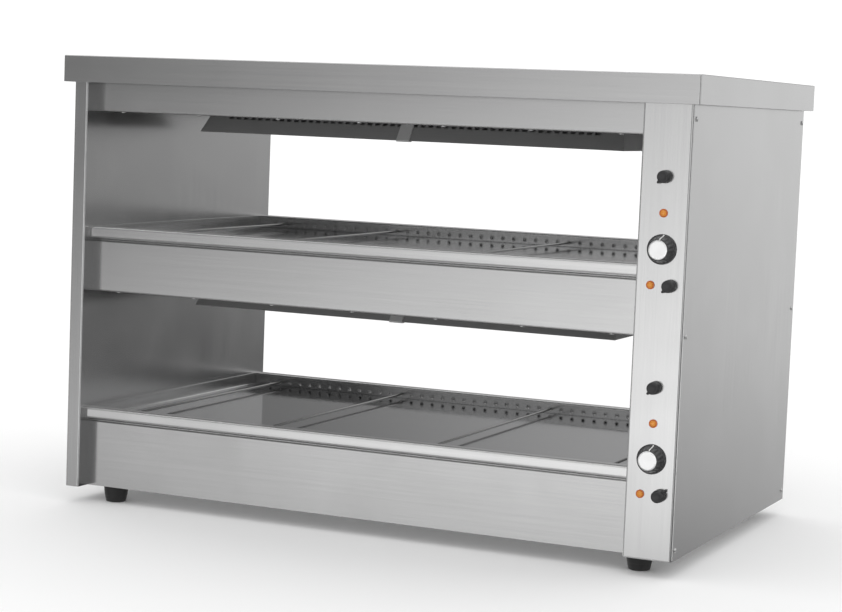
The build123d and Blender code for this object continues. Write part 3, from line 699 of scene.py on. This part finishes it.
def thicken(piece, thickness):
    """Gives a sheet its gauge, on the side away from its face, and keeps its cut edges crisp."""
    gauge = piece.modifiers.new("gauge", "SOLIDIFY")
    gauge.thickness = thickness
    gauge.offset = -1
    gauge.use_even_offset = True
    made = bpy.data.meshes.new_from_object(piece.evaluated_get(bpy.context.evaluated_depsgraph_get()))
    piece.modifiers.clear()
    piece.data = made
    made.set_sharp_from_angle(angle=math.radians(28))


def pierced(bm, place, x_low, x_high, z_low, z_high, x, z, radius, steps=24):
    """Flat panel with one round hole. The place takes X and Z to a point."""
    ring = [bm.verts.new(place(x + radius * math.cos(a), z + radius * math.sin(a)))
            for a in (2 * math.pi * (step + 0.5) / steps for step in range(steps))]
    corners = [bm.verts.new(place(*point)) for point in
               ((x_high, z_high), (x_low, z_high), (x_low, z_low), (x_high, z_low))]
    quarter = steps // 4
    for number, corner in enumerate(corners):
        for step in range(number * quarter, (number + 1) * quarter - 1):
            bm.faces.new((ring[step], ring[step + 1], corner))
        last = ring[(number + 1) * quarter - 1]
        bm.faces.new((last, ring[((number + 1) * quarter) % steps], corners[(number + 1) % 4], corner))


def rear_rims():
    """Rear rails: a folded nose outside, and an inner leg with the row of round holes that takes the lane rods."""
    bend, settle = 0.0025, 0.0003
    pitch, radius, drop, face, lip, foot = 0.020, 0.0026, 0.013, 0.017, 0.008, 0.005
    for row in ("upper", "lower"):
        low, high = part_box(f"{row}_rear_rim")
        corners = [(high.y - lip, high.z - face), (high.y, high.z - face), (high.y, high.z), (low.y, high.z),
                   (low.y, low.z), (low.y + foot, low.z)]
        profile = [corners[0]]
        for before, corner, after in zip(corners, corners[1:], corners[2:]):
            into = Vector((corner[0] - before[0], corner[1] - before[1])).normalized()
            out = Vector((after[0] - corner[0], after[1] - corner[1])).normalized()
            start = Vector(corner) - into * bend
            profile.append(tuple(start - into * settle))
            for step in range(7):
                angle = math.radians(15 * step)
                profile.append(tuple(start + into * bend * math.sin(angle) + out * bend * (1 - math.cos(angle))))
            profile.append(tuple(Vector(corner) + out * (bend + settle)))
        profile.append(corners[-1])
        middle = (BAY_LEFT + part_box("upper_hot_plate")[1].x) / 2
        count = 43
        first = middle - pitch * (count - 1) / 2
        cells = [first + pitch * (step - 0.5) for step in range(count + 1)]
        stations = [low.x] + cells + [high.x]
        bm = bmesh.new()
        for a, b in zip(profile, profile[1:]):
            leg = abs(a[0] - low.y) < 1e-6 and abs(b[0] - low.y) < 1e-6 and abs(a[1] - b[1]) > 0.01
            for x_low, x_high in zip(stations, stations[1:]):
                if leg and x_low in cells and x_high in cells:
                    pierced(bm, lambda x, z: Vector((x, low.y, z)), x_low, x_high, b[1], a[1],
                            (x_low + x_high) / 2, high.z - drop, radius)
                else:
                    bm.faces.new([bm.verts.new((x, y, z)) for x, (y, z) in
                                  ((x_low, a), (x_high, a), (x_high, b), (x_low, b))])
        bmesh.ops.remove_doubles(bm, verts=bm.verts, dist=0.00001)
        rail = finish_mesh(f"{row}_rear_rail", bm, [paint["rim"]], "cabinet", 30)
        thicken(rail, SHEET)
        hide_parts(f"{row}_rear_rim")


def heater_hoods():
    """Flared sheet hoods with a row of vent slots high on both long sides, and lighter end plates."""
    slope, end_slope, sheet, pitch, slot = 0.020, 0.008, 0.001, 0.013, 0.008
    for row in ("upper", "lower"):
        low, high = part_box(f"{row}_heater_hood")
        middle = (low + high) / 2
        rise = high.z - low.z
        levels = [0.0, 0.10, 0.25, 1.0]
        count = int((high.x - low.x - 4 * slope) / pitch)
        first = middle.x - pitch * (count - 1) / 2
        edges = []
        for step in range(count):
            edges += [first + pitch * step - slot / 2, first + pitch * step + slot / 2]
        bm = bmesh.new()
        for side in (-1, 1):
            for share_a, share_b in zip(levels, levels[1:]):
                def at(x, share):
                    y = middle.y + side * ((high.y - low.y) / 2 - slope * (1 - share))
                    return Vector((x, y, high.z - rise * share))

                ends = [[low.x + end_slope * (1 - share), high.x - end_slope * (1 - share)]
                        for share in (share_a, share_b)]
                above = [ends[0][0]] + edges + [ends[0][1]]
                below = [ends[1][0]] + edges + [ends[1][1]]
                for step in range(len(above) - 1):
                    if share_a == levels[1] and step % 2 == 1:
                        continue
                    bm.faces.new([bm.verts.new(at(x, share)) for x, share in
                                  ((above[step], share_a), (above[step + 1], share_a),
                                   (below[step + 1], share_b), (below[step], share_b))])
        half = (high.y - low.y) / 2
        for x, inner in ((low.x, low.x + end_slope), (high.x, high.x - end_slope)):
            plate = bm.faces.new([bm.verts.new(point) for point in
                                  ((x, middle.y - half, low.z), (x, middle.y + half, low.z),
                                   (inner, middle.y + half - slope, high.z), (inner, middle.y - half + slope, high.z))])
            plate.material_index = 1
        bm.faces.new([bm.verts.new(point) for point in
                      ((low.x + end_slope, low.y + slope, high.z), (high.x - end_slope, low.y + slope, high.z),
                       (high.x - end_slope, high.y - slope, high.z), (low.x + end_slope, high.y - slope, high.z))])
        bmesh.ops.remove_doubles(bm, verts=bm.verts, dist=0.00001)
        for side in (-1, 1):
            wall, back = half - slope - 0.007, half - 0.018
            lining = bm.faces.new([bm.verts.new((x, middle.y + side * y, z)) for x, y, z in
                                   ((low.x + 0.012, wall, high.z - 0.002), (high.x - 0.012, wall, high.z - 0.002),
                                    (high.x - 0.012, back, low.z + 0.012), (low.x + 0.012, back, low.z + 0.012))])
            lining.material_index = 2
        hood = finish_mesh(f"{row}_hood_sheet", bm, [paint["hood"], paint["hood_end"], paint["hood_inside"]], "cabinet",
                           25)
        thicken(hood, sheet)
        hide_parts(f"{row}_heater_hood")


def bar(bm, low, high):
    """Square wire between two corners."""
    points = [bm.verts.new((x, y, z)) for x in (low[0], high[0]) for y in (low[1], high[1]) for z in (low[2], high[2])]
    for face in ((0, 1, 3, 2), (4, 6, 7, 5), (0, 4, 5, 1), (2, 3, 7, 6), (0, 2, 6, 4), (1, 5, 7, 3)):
        bm.faces.new([points[index] for index in face])


def heater_guards():
    """Wire grid in the mouth of each hood: a frame, long wires and short wires welded across them."""
    wire, frame_width, inset = 0.0014, 0.003, 0.0038
    long_gaps, short_gaps = 9, 59
    bm = bmesh.new()
    for row in ("upper", "lower"):
        low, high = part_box(f"{row}_heater_hood")
        x_low, x_high, y_low, y_high = low.x + inset, high.x - inset, low.y + inset, high.y - inset
        z = low.z + 0.0002
        for y in (y_low, y_high - frame_width):
            bar(bm, (x_low, y, z), (x_high, y + frame_width, z + 0.0026))
        for x in (x_low, x_high - frame_width):
            bar(bm, (x, y_low + frame_width, z), (x + frame_width, y_high - frame_width, z + 0.0026))
        for step in range(1, long_gaps):
            y = y_low + (y_high - y_low) * step / long_gaps
            bar(bm, (x_low + frame_width, y - wire / 2, z), (x_high - frame_width, y + wire / 2, z + wire))
        for step in range(1, short_gaps):
            x = x_low + (x_high - x_low) * step / short_gaps
            bar(bm, (x - wire / 2, y_low + frame_width, z + wire),
                (x + wire / 2, y_high - frame_width, z + 2 * wire - 0.0002))
    guards = finish_mesh("heater_wire_guards", bm, [paint["guard"]], "cabinet", 30)
    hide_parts("heater_guards")


def cable_entry():
    """Domed clamping nut on a hexagon outside the rear panel, and a barrel with its locknut inside."""
    low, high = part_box("cable_gland")
    x, z = (low.x + high.x) / 2, (low.z + high.z) / 2
    apothem = 0.0121

    def hexagon(radius, height, angle):
        if radius < apothem:
            return radius
        return apothem / math.cos((angle + math.pi / 6) % (math.pi / 3) - math.pi / 6)

    turn = Matrix(((-1, 0, 0), (0, 0, 1), (0, 1, 0))).to_4x4()
    outside = Matrix.Translation((x, REAR, z)) @ turn
    bm = bmesh.new()
    turned(bm, outside, [(0.0045, -0.0130), (0.0080, -0.0130), (0.0080, -0.0075), (0.01205, -0.0075), (0.0122, -0.0073),
                         (0.0122, -0.0017), (0.01205, -0.0015), (0.0080, -0.0015), (0.0080, 0.0), (0.01205, 0.0),
                         (0.0122, 0.0002), (0.0122, 0.0056), (0.0119, 0.0060), (0.0108, 0.0061), (0.0108, 0.0068),
                         (0.0105, 0.0090), (0.0098, 0.0120), (0.0087, 0.0145), (0.0074, 0.0158), (0.0064, 0.0160),
                         (0.0050, 0.0158), (0.0045, 0.0150), (0.0045, -0.0100), (0.0010, -0.0100)], 72, hexagon)
    gland = finish_mesh("cable_entry", bm, [paint["plastic"]], "cabinet", 30)
    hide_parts("cable_gland")


def dress_cad_nodes():
    """Finishes for the sheet metal that stays as it was drawn."""
    finishes = {
        "top_cover": "cover",
        "left_inner_skin": "wall", "left_outer_skin": "side", "right_side_panel": "side",
        "control_inner_wall": "wall", "control_panel": "panel", "control_rear_cover": "panel",
        "base_pan": "pan", "canopy_underpan": "pan", "upper_underpan": "pan",
        "canopy_front_fascia": "apron", "canopy_rear_fascia": "apron",
        "upper_front_apron": "apron", "upper_rear_apron": "apron",
        "lower_front_apron": "apron", "lower_rear_apron": "apron",
        "upper_front_rim": "rim", "lower_front_rim": "rim",
        "deck_end_strips": "strip", "upper_hot_plate": "plate", "lower_hot_plate": "plate",
        "heater_elements": "element", "heater_brackets": "bracket", "heater_mats": "mica",
        "foot_bolts": "fastener", "terminal_block": "plastic",
        "switch_bodies": "plastic", "thermostat_bodies": "plastic", "lamp_bodies": "plastic",
    }
    for name, piece in node.items():
        finish = finishes.get(name)
        if finish is None and name.endswith("spindle"):
            finish = "spindle"
        if finish is None:
            continue
        piece.data.materials.clear()
        piece.data.materials.append(paint[finish])


paint = {
    "cover": steel("cover_steel", 0.60, 0.22, LENGTHWAYS),
    "wall": steel("wall_steel", 0.58, 0.22, UPRIGHT),
    "side": steel("side_steel", 0.60, 0.22, UPRIGHT),
    "panel": steel("panel_steel", 0.64, 0.20, UPRIGHT),
    "pan": steel("pan_steel", 0.50, 0.34, LENGTHWAYS),
    "apron": steel("apron_steel", 0.60, 0.22, LENGTHWAYS),
    "rim": steel("rim_steel", 0.68, 0.18, LENGTHWAYS, relief=0.08, edge=0.0030),
    "strip": steel("strip_steel", 0.62, 0.22, DEPTHWAYS),
    "plate": polished("hot_plate_polish", 0.46, 0.07),
    "hood": steel("hood_dark_steel", 0.26, 0.42, LENGTHWAYS, bare=0.15),
    "hood_end": steel("hood_end_steel", 0.48, 0.36, UPRIGHT, bare=0.15),
    "hood_inside": steel("hood_reflector_steel", 0.30, 0.30, LENGTHWAYS, bare=0.5),
    "guard": steel("guard_wire_steel", 0.20, 0.40, LENGTHWAYS, edge=0.0003, bare=0.5),
    "element": steel("element_sheath", 0.20, 0.40, LENGTHWAYS),
    "bracket": steel("bracket_steel", 0.50, 0.32, UPRIGHT, bare=0.2),
    "mica": moulded("mica_sheet", (0.42, 0.35, 0.25), (0.50, 0.43, 0.32), 0.5),
    "fastener": steel("fastener_steel", 0.72, 0.22, (700, 700, 700), edge=0.0003),
    "spindle": steel("spindle_steel", 0.55, 0.25, (800, 800, 800)),
    "plastic": moulded("housing_black", (0.025, 0.025, 0.026), (0.04, 0.04, 0.042), 0.4),
    "rod_steel": steel("rod_wire_steel", 0.30, 0.30, DEPTHWAYS, relief=0.05, edge=0.0002),
    "dial_black": moulded("dial_black", (0.018, 0.018, 0.019), (0.03, 0.03, 0.032), 0.24, coat=0.6, relief=0.05),
    "dial_cap": spun("dial_spun_cap", 0.93, 0.24),
    "dial_line": moulded("dial_line_white", (0.78, 0.78, 0.77), (0.86, 0.86, 0.85), 0.35),
    "knob_black": moulded("knob_black", (0.016, 0.016, 0.017), (0.03, 0.03, 0.031), 0.38, coat=0.1),
    # Amber lens tints: the first of each pair is painted shade where the lens turns away, the second a painted
    # highlight where it faces the camera; the dome's lighter pair is a painted highlight too.
    "amber_rim": amber("amber_rim", (0.40, 0.07, 0.014), (0.60, 0.16, 0.04)),
    "amber_dome_painted_highlight": amber("amber_dome_painted_highlight", (0.52, 0.13, 0.02), (0.66, 0.25, 0.025)),
    "rubber": moulded("foot_rubber", (0.012, 0.012, 0.012), (0.022, 0.022, 0.022), 0.6, grain=900.0, relief=0.3),
}

place_camera()
make_room()
floor_mesh = bpy.data.meshes.new("floor")
floor_mesh.from_pydata([(-9, -9, 0), (9, -9, 0), (9, 9, 0), (-9, 9, 0)], [], [(0, 1, 2, 3)])
floor = bpy.data.objects.new("floor", floor_mesh)
floor_mesh.materials.append(floor_material())
bpy.context.scene.collection.objects.link(floor)
floor.visible_glossy = False
bpy.context.scene.view_settings.view_transform = "Standard"

dress_cad_nodes()
thermostat_knobs()
switch_knobs()
pilot_lamps()
lane_rods()
rubber_feet()
screw_heads()
rear_rims()
heater_hoods()
heater_guards()
cable_entry()
